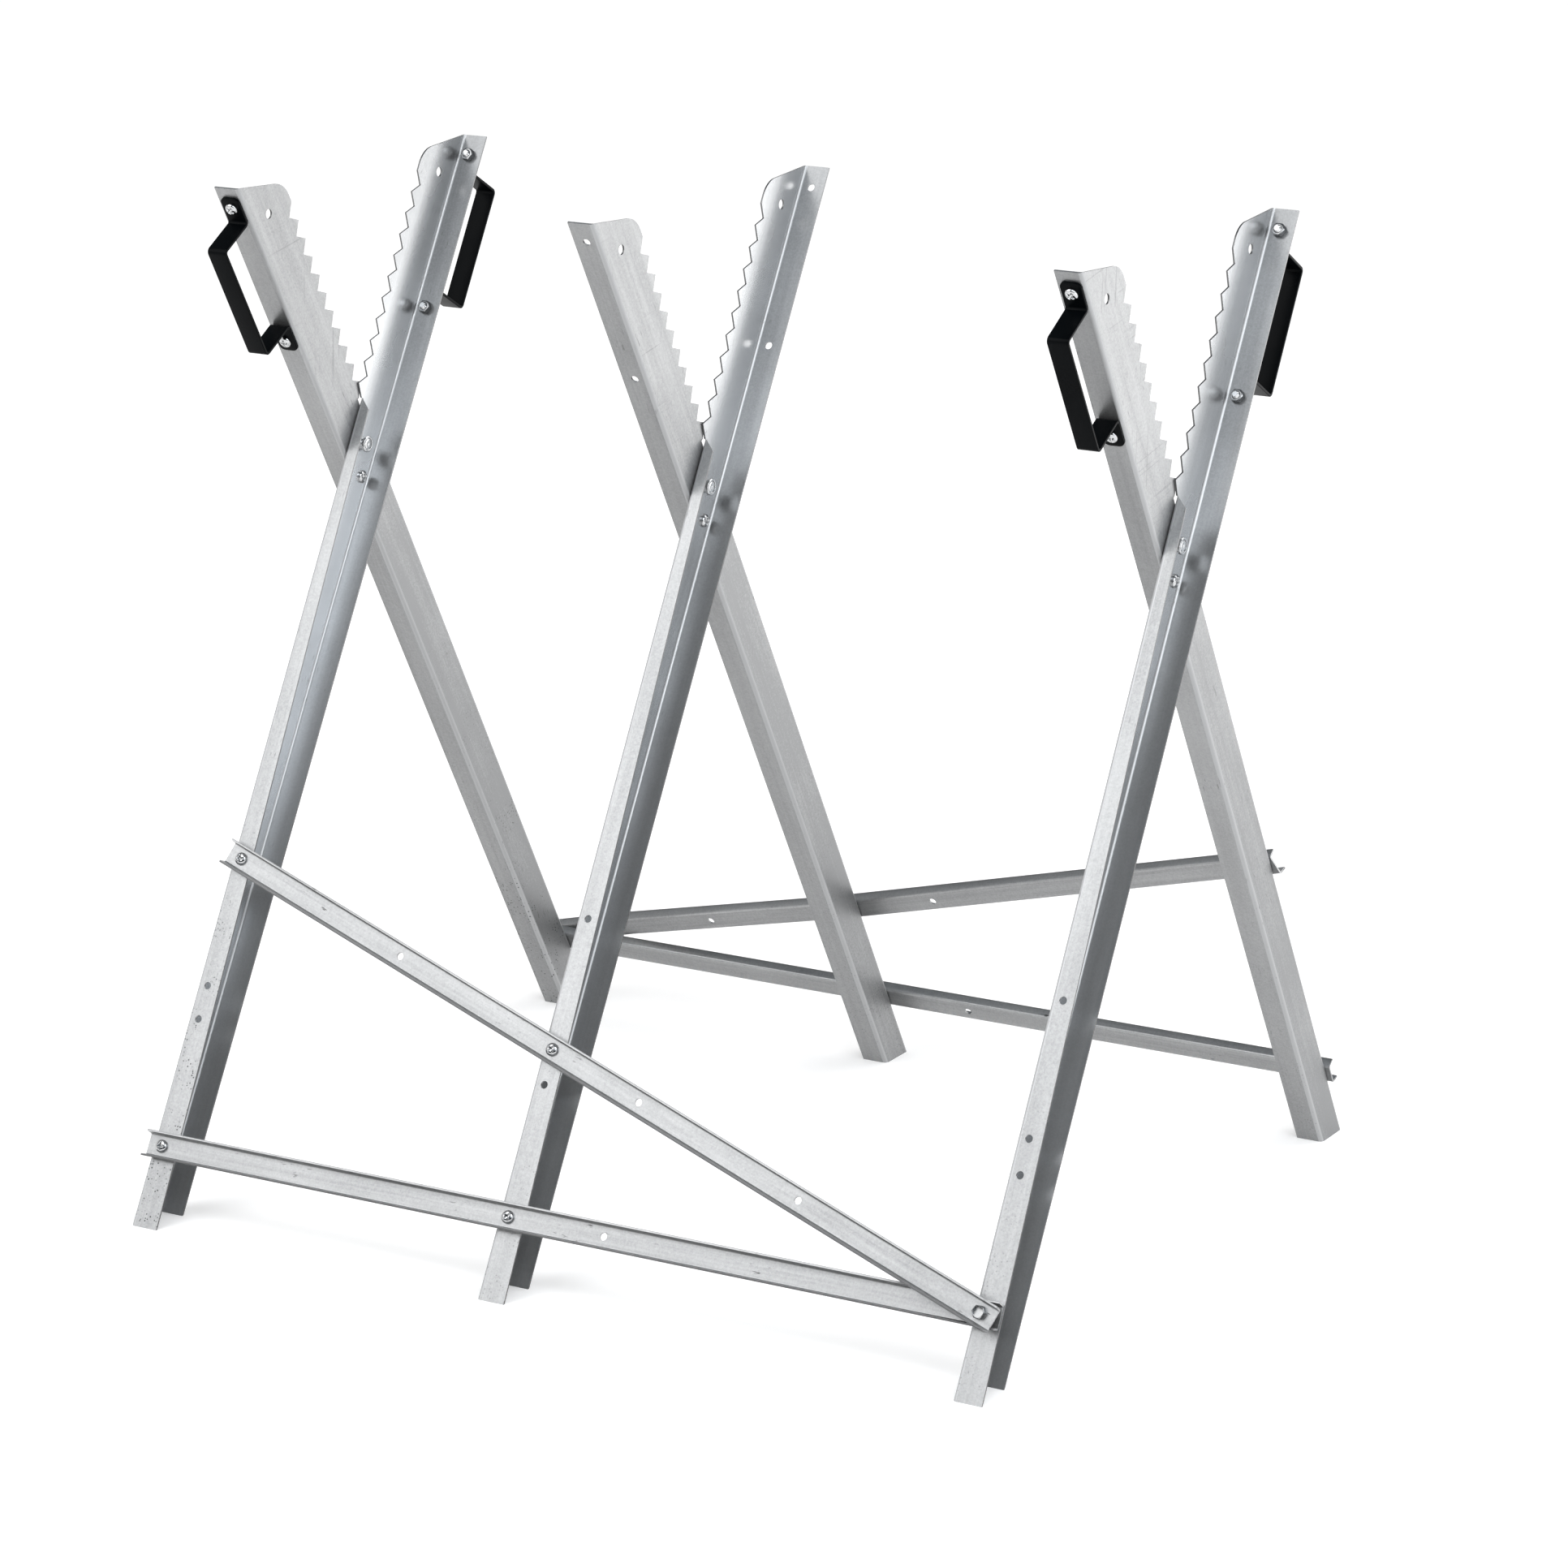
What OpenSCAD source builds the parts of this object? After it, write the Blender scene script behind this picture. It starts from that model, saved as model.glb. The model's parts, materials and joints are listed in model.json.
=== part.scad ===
// Folding saw horse: three toothed trestles of bent galvanised sheet, braced front and rear.
// The origin is on the floor, midway along the row of pivots. +Z is up and X runs along that row.
// Front legs stand at -Y and rear legs at +Y. The two frames turn against each other about the pivots.

/* [Frame] */
// Height of the pivots above the floor
pivot_height = 597; // [500:1:700]
// Lean of each leg from upright, in degrees
leg_lean = 30.25; // [25:0.25:34]
// Distance between the outer trestles
trestle_span = 774; // [600:1:1000]
// Place of the middle trestle along the span
middle_share = 0.442; // [0.42:0.002:0.46]
// Angle left between the legs of the two frames when folded, in degrees
folded_angle = 3.5; // [3.5:0.5:20]

/* [Leg] */
// Thickness of the leg sheet
leg_sheet = 1.5; // [1.2:0.1:2]
// Inside radius of the leg's bends
leg_bend = 2; // [1:0.5:3]
// Width of the flange that runs the whole length of the leg
flange_w = 24; // [22:0.5:30]
// Distance from the pivot to the outer face of that flange
back_reach = 23.5; // [22:0.5:28]
// Distance from the pivot to the root line of the teeth
root_reach = 19; // [17:0.5:24]
// Angle between the root line and the flange, in degrees
root_taper = 0.6; // [0:0.1:0.8]
// Distance from the pivot to the top of the leg
leg_top = 295; // [290:1:320]
// Slope of the web's top edge, in degrees
top_slope = 34; // [20:1:38]
// Radius of the web's round head
head_r = 24; // [15:1:26]
// Width of the narrow flange where it starts, below the teeth
narrow_top_w = 11; // [8:0.5:14]
// Width of the narrow flange at the foot
narrow_foot_w = 25.5; // [22:0.5:30]

/* [Teeth] */
// Distance from one tooth to the next
tooth_pitch = 19.5; // [17:0.5:20]
// Number of teeth below the round head
tooth_count = 10; // [8:1:10]
// Distance from the pivot to the lower end of the round head
head_tip = 239.5; // [235:0.5:244]

/* [Holes] */
// Diameter of the holes for the screws
fixing_hole = 6.5; // [6.2:0.1:7]
// Diameter of the spare hole at the top of the web
top_hole = 8.5; // [6:0.5:10]
// Distance from the pivot to the spare hole
top_hole_rise = 251; // [245:1:258]
// Distance from the web to the holes in the full flange
flange_hole_x = 12; // [11:0.5:13]
// Distance from the web to the holes in the narrow flange
narrow_hole_x = 10; // [9:0.5:11]
// Distance from the foot up to the lowest brace hole, along the leg
brace_foot_rise = 62.6; // [50:0.2:90]
// Distance from the lowest brace hole up to the highest, along the leg
diagonal_drop = 250.5; // [220:0.5:280]

/* [Braces] */
// Thickness of the brace sheet
brace_sheet = 1.5; // [1:0.1:2]
// Inside radius of the brace's bends
brace_bend = 1; // [0.5:0.5:2]
// Width of a brace across its back
brace_w = 20; // [18:0.5:24]
// Height of the brace's lips, from the back
brace_depth = 9; // [7:0.5:12]
// How far each lip leans outwards
brace_flare = 1.3; // [0.5:0.1:2]
// Length of a brace past its end holes
brace_overhang = 13.5; // [10:0.5:16]
// Place of the spare holes along a diagonal brace
spare_share = 0.23; // [0.15:0.01:0.3]
// Flat length of a diagonal brace past its middle holes
middle_land = 22; // [18:1:40]
// Flat length of a diagonal brace before the hole where it lies on the lower brace
stack_land = 80; // [75:1:110]

/* [Handles] */
// Width of the handle strap
handle_w = 18.5; // [16:0.5:21]
// Thickness of the handle strap
handle_t = 2.5; // [1.5:0.1:3]
// Inside radius of the handle's bends
handle_bend = 2; // [1:0.5:4]
// Height of the grip's outer face above the flange
handle_rise = 40; // [32:1:50]
// Length of the grip over its outer faces
handle_grip = 112; // [90:1:114]
// Distance between the handle's two screws
handle_pitch = 142; // [138:1:146]
// Distance from the pivot to the middle of the handle
handle_mid = 205; // [200:0.5:210]
// Length of each tab past its screw
handle_tab = 10; // [8:0.5:11]
// Corner radius of the tabs
handle_corner = 5; // [2:0.5:7]

/* [Fasteners] */
// Diameter of the screws
screw_d = 6; // [5:0.1:6]
// Diameter of the pan heads
pan_d = 11; // [10:0.5:12]
// Height of the pan heads
pan_h = 3.6; // [3:0.1:4.5]
// Width of the nuts and the hexagon heads across flats
hex_af = 10; // [9:0.5:10]
// Height of the hexagon heads
hex_h = 4; // [3:0.5:5]
// Height of the nuts
nut_h = 5; // [4:0.5:6]
// Length of thread that stands out of a nut
thread_end = 2.5; // [1:0.5:4]
// Diameter of the pivot rivets
pivot_d = 8; // [6:0.5:9]
// Diameter of the rivet heads
rivet_head_d = 14; // [12:0.5:15]
// Height of the rivet heads
rivet_head_h = 2.5; // [2:0.1:3]
// Diameter of the collar between a rivet's ringed head and the web
collar_d = 11; // [10:0.5:11.5]
// Height of that collar
collar_h = 4; // [2:0.5:5]
// Distance from the pivot to the stop screw
stop_r = 28.8; // [27:0.1:31]
// Angle of the stop screw from the line of the front leg, in degrees
stop_angle = 25.7; // [20:0.1:32]

/* [Hidden] */
// Gap between pieces that turn past each other
run_gap = 0.3;
// Radial clearance of the pivot rivets
pivot_fit = 0.05;
// Radial clearance between a nut and its screw
thread_fit = 0.1;
// Play at the folded end of the stop slot, in degrees
slot_spare = 1;
// How far cuts run past the faces they leave
overrun = 1;
// Depth, width and length of the cross recess in the pan heads
recess_depth = 2;
recess_w = 1.4;
recess_len = 5.6;
// Radius of the round edge of the pan heads
pan_edge = 2.4;
// Depth of the ring and the dimple in a rivet head, and the width of its rim
rivet_ring = 0.6;
rivet_rim = 1.4;
dimple_r = 1.6;
// Slope of the chamfer on nuts and hexagon heads, in degrees
hex_chamfer = 30;
// Straight pieces in each bend, in the round head and in a round edge
bend_steps = 6;
head_steps = 16;
edge_steps = 6;

tooth_depth = tooth_pitch / 2;
web_edge = 3 / 2 * (leg_bend + leg_sheet);
narrow_lap = 2 * (leg_bend + leg_sheet);
narrow_start = head_tip - (tooth_count + 1 / 2) * tooth_pitch;
leg_drop = (pivot_height + root_reach + back_reach) / cos(leg_lean);
trestle_x = [-trestle_span / 2, (middle_share - 1 / 2) * trestle_span, trestle_span / 2];
sides = ["left", "middle", "right"];
handle_sides = [0, 2];
brace_shares = [0, middle_share, 1 - middle_share, 1];
diagonal_shares = [0, spare_share, middle_share, 1 - middle_share, 1 - spare_share, 1];
brace_start = trestle_x[0] + run_gap / 2 + narrow_hole_x;
brace_hole_low = pivot_height / cos(leg_lean) - brace_foot_rise;
brace_hole_high = brace_hole_low - diagonal_drop;
diagonal_run = norm([trestle_span, diagonal_drop]);
diagonal_angle = atan2(diagonal_drop, trestle_span);
handle_holes = [handle_mid - handle_pitch / 2, handle_mid + handle_pitch / 2];
stop_open = 2 * leg_lean - stop_angle;
stop_folded = folded_angle - stop_angle - slot_spare;

zinc = [0.72, 0.74, 0.75];
bright_zinc = [0.85, 0.86, 0.86];
black_coat = [0.06, 0.06, 0.07];

// Plane geometry

function left(v) = [-v.y, v.x];
function unit(v) = v / norm(v);
function turn(v, a) = [v.x * cos(a) - v.y * sin(a), v.x * sin(a) + v.y * cos(a)];
function polar(r, a) = [r * cos(a), r * sin(a)];
function reverse(list) = [for (i = [len(list) - 1 : -1 : 0]) list[i]];
function arc(hub, r, from, to, steps) =
    [for (i = [0 : steps]) hub + polar(r, from + (to - from) * i / steps)];

// Where two lines meet, each given by its normal and its distance from the origin
function meet(n1, k1, n2, k2) =
    [k1 * n2.y - k2 * n1.y, n1.x * k2 - n2.x * k1] / (n1.x * n2.y - n1.y * n2.x);

// One bend of a strip from a past b to c, with the mid-line at radius r, moved sideways by off
function bend_points(a, b, c, r, off) =
    let (
        d1 = unit(b - a),
        d2 = unit(c - b),
        hand = sign(d1.x * d2.y - d1.y * d2.x),
        angle = acos(d1 * d2),
        hub = b - d1 * r * tan(angle / 2) + left(d1) * r * hand
    )
    [
        for (i = [0 : bend_steps])
            hub - hand * (r - hand * off) * turn(left(d1), hand * angle * i / bend_steps)
    ];

// One face of a bent strip whose mid-line follows path
function strip_face(path, r, off) =
    let (last = len(path) - 1)
    concat(
        [path[0] + off * left(unit(path[1] - path[0]))],
        [for (i = [1 : last - 1]) each bend_points(path[i - 1], path[i], path[i + 1], r, off)],
        [path[last] + off * left(unit(path[last] - path[last - 1]))]
    );

// The section of sheet metal bent along path, with inside radius bend
function strip(path, bend, sheet) =
    let (r = bend + sheet / 2)
    concat(strip_face(path, r, sheet / 2), reverse(strip_face(path, r, -sheet / 2)));

// Frames: a leg has its web in YZ, its flanges towards +X, and Z up along the leg from the pivot

module front_leg_place(i) {
    translate([trestle_x[i] + run_gap / 2, 0, pivot_height]) rotate([-leg_lean, 0, 0]) children();
}

module rear_leg_place(i) {
    translate([trestle_x[i] - run_gap / 2, 0, pivot_height]) rotate([-leg_lean, 0, 180]) children();
}

// Plane of the narrow flange's outer face, with Z along the root line of the teeth
module root_place() {
    translate([0, -root_reach, 0]) rotate([root_taper, 0, 0]) children();
}

// Outer faces of all three narrow flanges of a frame
module front_brace_place() {
    translate([0, 0, pivot_height]) rotate([-leg_lean, 0, 0]) root_place() children();
}

module rear_brace_place() {
    rotate([0, 0, 180]) front_brace_place() children();
}

// An outline in YZ, thickened along X
module sideways(thick) {
    rotate([90, 0, 90]) linear_extrude(thick) children();
}

// Leg

root_along = [-sin(root_taper), cos(root_taper)];
root_out = [-cos(root_taper), -sin(root_taper)];
function root_point(along, out) = [-root_reach, 0] + along * root_along + out * root_out;

// The round head touches the sloping top edge and the line of the tooth tips
top_corner = [back_reach - leg_sheet, leg_top];
top_out = [-sin(top_slope), cos(top_slope)];
head_hub = meet(
    top_out, top_out * top_corner - head_r,
    root_out, root_out * root_point(0, tooth_depth) - head_r
);

tooth_points = [
    for (i = [0 : tooth_count]) each [
        root_point(head_tip - i * tooth_pitch, tooth_depth),
        root_point(head_tip - (i + 1 / 2) * tooth_pitch, 0)
    ]
];

web_outline = concat(
    [[back_reach + overrun, -leg_drop], [back_reach + overrun, leg_top], top_corner],
    arc(head_hub, head_r, 90 + top_slope, 180 + root_taper, head_steps),
    tooth_points,
    [root_point(narrow_start, -web_edge), root_point(-leg_drop, -web_edge)]
);

// Web and full flange: an angle section trimmed to the toothed outline
module web_and_flange() {
    section_low = -root_reach - 2 * tooth_pitch;
    mid = leg_sheet / 2;
    intersection() {
        translate([0, 0, -leg_drop]) linear_extrude(leg_drop + leg_top + overrun)
            polygon(strip(
                [[mid, section_low], [mid, back_reach - mid], [flange_w, back_reach - mid]],
                leg_bend, leg_sheet
            ));
        translate([-overrun, 0, 0]) sideways(flange_w + 2 * overrun) polygon(web_outline);
    }
}

// Narrow flange: an angle section that starts in a chamfer and widens down to the foot
module narrow_flange() {
    mid = leg_sheet / 2;
    chamfer_end = narrow_start - (narrow_top_w - leg_sheet);
    root_place() intersection() {
        translate([0, 0, -leg_drop]) linear_extrude(leg_drop + narrow_start)
            polygon(strip(
                [[mid, narrow_lap], [mid, mid], [narrow_foot_w + flange_w, mid]],
                leg_bend, leg_sheet
            ));
        translate([0, narrow_lap + overrun, 0]) rotate([90, 0, 0]) linear_extrude(narrow_lap + 2 * overrun)
            polygon([
                [-overrun, narrow_start + overrun],
                [leg_sheet, narrow_start + overrun],
                [leg_sheet, narrow_start],
                [narrow_top_w, chamfer_end],
                [narrow_foot_w, -pivot_height / cos(leg_lean)],
                [narrow_foot_w, -leg_drop - overrun],
                [-overrun, -leg_drop - overrun]
            ]);
    }
}

module under_floor() {
    wide = narrow_foot_w + flange_w;
    rotate([leg_lean, 0, 0]) translate([-wide / 2, -leg_drop, -pivot_height - leg_drop])
        cube([2 * wide, 2 * leg_drop, leg_drop]);
}

module web_hole(y, z, d) {
    translate([-overrun, y, z]) rotate([0, 90, 0]) cylinder(h = leg_sheet + 2 * overrun, d = d, $fn = 48);
}

module flange_hole(y, z) {
    translate([flange_hole_x, y + overrun, z]) rotate([90, 0, 0])
        cylinder(h = leg_sheet + 2 * overrun, d = fixing_hole, $fn = 48);
}

module narrow_hole(z) {
    translate([narrow_hole_x, -overrun, z]) rotate([-90, 0, 0])
        cylinder(h = leg_sheet + 2 * overrun, d = fixing_hole, $fn = 48);
}

function stop_point(a) = polar(stop_r, a - 90);

// Curved slot about the pivot that the stop screw runs in
module stop_slot() {
    half = screw_d / 2 + run_gap;
    reach = 2 * stop_r;
    through = leg_sheet + 2 * overrun;
    translate([-overrun, 0, 0]) {
        intersection() {
            rotate([0, 90, 0]) difference() {
                cylinder(h = through, r = stop_r + half, $fn = 96);
                translate([0, 0, -overrun])
                    cylinder(h = through + 2 * overrun, r = stop_r - half, $fn = 96);
            }
            sideways(through)
                polygon([
                    [0, 0],
                    polar(reach, stop_folded - 90),
                    polar(reach, (stop_folded + stop_open) / 2 - 90),
                    polar(reach, stop_open - 90)
                ]);
        }
        for (a = [stop_folded, stop_open])
            translate([0, stop_point(a).x, stop_point(a).y]) rotate([0, 90, 0])
                cylinder(h = through, r = half, $fn = 48);
    }
}

// One leg, with everything but the hole or slot for the stop screw
module leg_body() {
    difference() {
        union() {
            web_and_flange();
            narrow_flange();
        }
        under_floor();
        web_hole(0, 0, pivot_d + 2 * pivot_fit);
        web_hole(0, top_hole_rise, top_hole);
        for (z = handle_holes) flange_hole(back_reach, z);
        root_place()
            for (share = brace_shares) narrow_hole(-brace_hole_high - share * diagonal_drop);
    }
}

module leg_front(i) {
    color(zinc) front_leg_place(i) difference() {
        leg_body();
        web_hole(stop_point(stop_angle).x, stop_point(stop_angle).y, screw_d + 2 * thread_fit);
    }
}

module leg_rear(i) {
    color(zinc) rear_leg_place(i) difference() {
        leg_body();
        stop_slot();
    }
}

// Braces: a shallow channel, drawn with its back at Y = 0, its lips towards +Y and its length along Z

brace_mid = brace_sheet / 2;
brace_half = brace_w / 2 - brace_mid;
lip_half = brace_half + brace_flare;
lip_end = brace_depth - brace_mid * sin(atan2(brace_flare, brace_depth));
brace_section = strip(
    [[-lip_half, lip_end], [-brace_half, brace_mid], [brace_half, brace_mid], [lip_half, lip_end]],
    brace_bend, brace_sheet
);

// The section at a station: [height of the brace's back, length along, slope of the mitre]
function brace_ring(at) = [for (q = brace_section) [q.x, at.x + q.y, at.y - q.y * at.z]];

// A brace that runs straight from station to station
module brace_run(stations) {
    n = len(brace_section);
    last = (len(stations) - 1) * n;
    polyhedron(
        points = [for (at = stations) each brace_ring(at)],
        faces = concat(
            [
                for (k = [0 : n : last - n], i = [0 : n - 1])
                    let (j = (i + 1) % n)
                    [k + i, k + n + i, k + n + j, k + j]
            ],
            [for (i = [0 : n / 2 - 2]) [i, i + 1, n - 2 - i, n - 1 - i]],
            [for (i = [0 : n / 2 - 2]) [last + i, last + n - 1 - i, last + n - 2 - i, last + i + 1]]
        )
    );
}

module brace_hole(y, z) {
    translate([0, y - overrun, z]) rotate([-90, 0, 0])
        cylinder(h = brace_sheet + 2 * overrun, d = fixing_hole, $fn = 48);
}

module straight_brace() {
    difference() {
        brace_run([[0, -brace_overhang, 0], [0, trestle_span + brace_overhang, 0]]);
        for (share = brace_shares) brace_hole(0, share * trestle_span);
    }
}

// The diagonal lies flat past both of its middle holes, then rises over the lips of the lower brace
rise_from = (1 - middle_share) * diagonal_run + middle_land;
rise_to = diagonal_run - stack_land;
rise_mitre = tan(atan2(brace_depth, rise_to - rise_from) / 2);

// Height of the diagonal's back above the flanges
function diagonal_height(along) =
    brace_depth * min(1, max(0, (along - rise_from) / (rise_to - rise_from)));

module diagonal_brace() {
    difference() {
        brace_run([
            [0, -brace_overhang, 0],
            [0, rise_from, rise_mitre],
            [brace_depth, rise_to, rise_mitre],
            [brace_depth, diagonal_run + brace_overhang, 0]
        ]);
        for (share = diagonal_shares)
            brace_hole(diagonal_height(share * diagonal_run), share * diagonal_run);
    }
}

// A brace laid on the narrow flanges, from the left hole at height z, sloping down by angle
module brace_place(z, angle) {
    translate([brace_start, 0, z]) rotate([0, angle, 0]) rotate([180, 0, 0]) rotate([0, 90, 0]) children();
}

module brace_front_lower() {
    color(zinc) front_brace_place() brace_place(-brace_hole_low, 0) straight_brace();
}

module brace_front_diagonal() {
    color(zinc) front_brace_place() brace_place(-brace_hole_high, diagonal_angle) diagonal_brace();
}

module brace_rear_lower() {
    color(zinc) rear_brace_place() brace_place(-brace_hole_low, 0) straight_brace();
}

module brace_rear_diagonal() {
    color(zinc) rear_brace_place() brace_place(-brace_hole_high, diagonal_angle) diagonal_brace();
}

// Handles: a strap bent to a hat, with round-cornered tabs, on the outer face of the full flange

module handle() {
    mid = handle_t / 2;
    low = back_reach + mid;
    high = back_reach + handle_rise - mid;
    half_grip = (handle_grip - handle_t) / 2;
    half_all = handle_pitch / 2 + handle_tab;
    x_low = flange_hole_x - handle_w / 2;
    corner = handle_corner;
    translate([0, 0, handle_mid]) difference() {
        intersection() {
            translate([x_low, 0, 0]) sideways(handle_w)
                polygon(strip(
                    [[low, -half_all], [low, -half_grip], [high, -half_grip],
                     [high, half_grip], [low, half_grip], [low, half_all]],
                    handle_bend, handle_t
                ));
            translate([flange_hole_x, back_reach + handle_rise + overrun, 0]) rotate([90, 0, 0])
                linear_extrude(handle_rise + 2 * overrun)
                    polygon([
                        for (q = [0 : 3])
                            let (sx = q == 0 || q == 3 ? 1 : -1, sz = q < 2 ? 1 : -1)
                            each arc([sx * (handle_w / 2 - corner), sz * (half_all - corner)],
                                     corner, 90 * q, 90 * (q + 1), edge_steps)
                    ]);
        }
        for (side = [-1, 1])
            translate([flange_hole_x, back_reach - overrun, side * handle_pitch / 2]) rotate([-90, 0, 0])
                cylinder(h = handle_t + 2 * overrun, d = fixing_hole, $fn = 48);
    }
}

// Handles at the front sit on the tops of the rear legs, and the other way round
module handle_front(i) {
    color(black_coat) rear_leg_place(i) handle();
}

module handle_rear(i) {
    color(black_coat) front_leg_place(i) handle();
}

// Fasteners, drawn along Z with the seat of the head at Z = 0

module shank(length) {
    translate([0, 0, -length]) cylinder(h = length + overrun, d = screw_d, $fn = 48);
}

module pan_screw(length) {
    difference() {
        union() {
            rotate_extrude($fn = 48) polygon(concat(
                [[0, 0], [pan_d / 2, 0]],
                arc([pan_d / 2 - pan_edge, pan_h - pan_edge], pan_edge, 0, 90, edge_steps),
                [[0, pan_h]]
            ));
            shank(length);
        }
        for (a = [0, 90])
            rotate([0, 0, a]) translate([-recess_len / 2, -recess_w / 2, pan_h - recess_depth])
                cube([recess_len, recess_w, recess_depth + overrun]);
    }
}

// A hexagon whose corners are turned off at the top
module hexagon(height) {
    r = hex_af / 2;
    corner_r = r / cos(30);
    intersection() {
        cylinder(h = height, r = corner_r, $fn = 6);
        rotate_extrude($fn = 48) polygon([
            [0, 0],
            [corner_r + overrun, 0],
            [corner_r + overrun, height - (corner_r + overrun - r) * tan(hex_chamfer)],
            [r, height],
            [0, height]
        ]);
    }
}

module hex_bolt(length) {
    hexagon(hex_h);
    shank(length);
}

module nut() {
    difference() {
        hexagon(nut_h);
        translate([0, 0, -overrun])
            cylinder(h = nut_h + 2 * overrun, d = screw_d + 2 * thread_fit, $fn = 48);
    }
}

// A rivet through both webs: a ringed head on a collar at the front leg, a plain head at the rear leg
module rivet() {
    r = rivet_head_d / 2;
    ring_r = r - rivet_rim;
    near = run_gap / 2 + leg_sheet;
    under = near + collar_h;
    top = under + rivet_head_h;
    far = near + run_gap;
    rotate_extrude($fn = 64) polygon([
        [0, top - rivet_ring],
        [dimple_r / 2, top - rivet_ring],
        [dimple_r, top - rivet_ring / 2],
        [ring_r - rivet_rim, top - rivet_ring / 2],
        [ring_r - rivet_rim, top - rivet_ring],
        [ring_r, top - rivet_ring],
        [ring_r, top],
        [r - rivet_rim / 2, top],
        [r, top - rivet_rim / 2],
        [r, under],
        [collar_d / 2, under],
        [collar_d / 2, near],
        [pivot_d / 2, near],
        [pivot_d / 2, -far],
        [r, -far],
        [r, -far - rivet_head_h / 2],
        [ring_r, -far - rivet_head_h],
        [0, -far - rivet_head_h]
    ]);
}

module pivot_rivet(i) {
    color(bright_zinc) translate([trestle_x[i], 0, pivot_height]) rotate([0, 90, 0]) rivet();
}

// The stop screws sit in the front legs and run in the slots of the rear legs
module stop_place(i) {
    front_leg_place(i) translate([0, stop_point(stop_angle).x, stop_point(stop_angle).y]) children();
}

module stop_screw(i) {
    color(bright_zinc) stop_place(i) translate([leg_sheet, 0, 0]) rotate([0, 90, 0])
        pan_screw(2 * leg_sheet + run_gap + thread_end);
}

// Screws of one frame's braces as [x, z] on the narrow flanges, given the middle trestle's share there
function brace_screw_points(share) = [
    [0, -brace_hole_low],
    [share * trestle_span, -brace_hole_low],
    [0, -brace_hole_high],
    [share * trestle_span, -brace_hole_high - share * diagonal_drop]
];
stack_point = [trestle_span, -brace_hole_low];

module brace_screws(share) {
    for (p = brace_screw_points(share))
        translate([brace_start + p.x, -brace_sheet, p.y]) rotate([90, 0, 0])
            pan_screw(brace_sheet + leg_sheet + nut_h + thread_end);
}

module stack_bolt() {
    seat = brace_depth + brace_sheet;
    translate([brace_start + stack_point.x, -seat, stack_point.y]) rotate([90, 0, 0])
        hex_bolt(seat + leg_sheet + nut_h + thread_end);
}

module brace_nuts(share) {
    for (p = concat(brace_screw_points(share), [stack_point]))
        translate([brace_start + p.x, leg_sheet, p.y]) rotate([-90, 0, 0]) nut();
}

module brace_screws_front() {
    color(bright_zinc) front_brace_place() brace_screws(middle_share);
}

module brace_screws_rear() {
    color(bright_zinc) rear_brace_place() brace_screws(1 - middle_share);
}

module stack_bolt_front() {
    color(bright_zinc) front_brace_place() stack_bolt();
}

module stack_bolt_rear() {
    color(bright_zinc) rear_brace_place() stack_bolt();
}

module brace_nuts_front() {
    color(bright_zinc) front_brace_place() brace_nuts(middle_share);
}

module brace_nuts_rear() {
    color(bright_zinc) rear_brace_place() brace_nuts(1 - middle_share);
}

module handle_screws() {
    for (z = handle_holes)
        translate([flange_hole_x, back_reach + handle_t, z]) rotate([-90, 0, 0])
            pan_screw(handle_t + leg_sheet + nut_h + thread_end);
}

module handle_nuts() {
    for (z = handle_holes)
        translate([flange_hole_x, back_reach - leg_sheet, z]) rotate([90, 0, 0]) nut();
}

module handle_screws_front() {
    color(bright_zinc) for (i = handle_sides) rear_leg_place(i) handle_screws();
}

module handle_screws_rear() {
    color(bright_zinc) for (i = handle_sides) front_leg_place(i) handle_screws();
}

module handle_nuts_front() {
    color(bright_zinc) for (i = handle_sides) rear_leg_place(i) handle_nuts();
}

module handle_nuts_rear() {
    color(bright_zinc) for (i = handle_sides) front_leg_place(i) handle_nuts();
}

for (i = [0 : 2]) {
    leg_front(i);
    leg_rear(i);
    pivot_rivet(i);
    stop_screw(i);
}
for (i = handle_sides) {
    handle_front(i);
    handle_rear(i);
}
brace_front_lower();
brace_front_diagonal();
brace_rear_lower();
brace_rear_diagonal();
brace_screws_front();
brace_screws_rear();
stack_bolt_front();
stack_bolt_rear();
brace_nuts_front();
brace_nuts_rear();
handle_screws_front();
handle_screws_rear();
handle_nuts_front();
handle_nuts_rear();
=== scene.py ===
# %% [markdown]
# # A folding saw stand
# The stand is bent from galvanised sheet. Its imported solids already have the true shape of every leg,
# brace and hole, so they stay as they are and get a finish. What a solid leaves plain is made here: the
# soft-edged handles, the cross-recessed screws, the bolts, the nuts and the ringed rivets.

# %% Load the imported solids
import json
import math

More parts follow.
